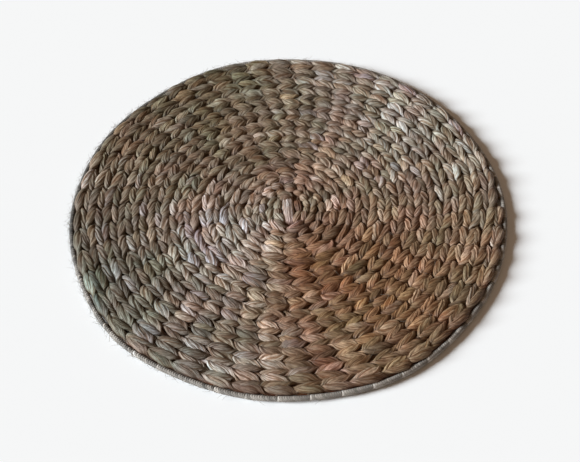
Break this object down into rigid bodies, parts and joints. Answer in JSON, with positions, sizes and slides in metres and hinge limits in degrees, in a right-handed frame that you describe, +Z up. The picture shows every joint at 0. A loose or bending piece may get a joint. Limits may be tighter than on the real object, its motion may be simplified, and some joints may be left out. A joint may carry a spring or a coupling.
{
  "type": "round woven placemat",
  "caption": "Round flat placemat, twined from dried plant stems in slanting rows around a centre loop, with a thin wrapped hoop along its edge.",
  "frame": {"origin": "middle of the flat underside, on the table", "axes": "+Z up out of the woven face; +Y towards the far side of the mat as pictured; +X to its right"},
  "size_m": [0.3708, 0.3686, 0.0098],
  "materials": {
    "dried_stem": "dry, fibrous, matt stem with a slight sheen along its ribs, grey beige to red brown",
    "pale_binding": "fine pale fibre wound closely round a thin core"
  },
  "bodies": {
    "root": {"woven_field": "dried_stem", "wrapped_hoop": "pale_binding"}
  },
  "joints": []
}
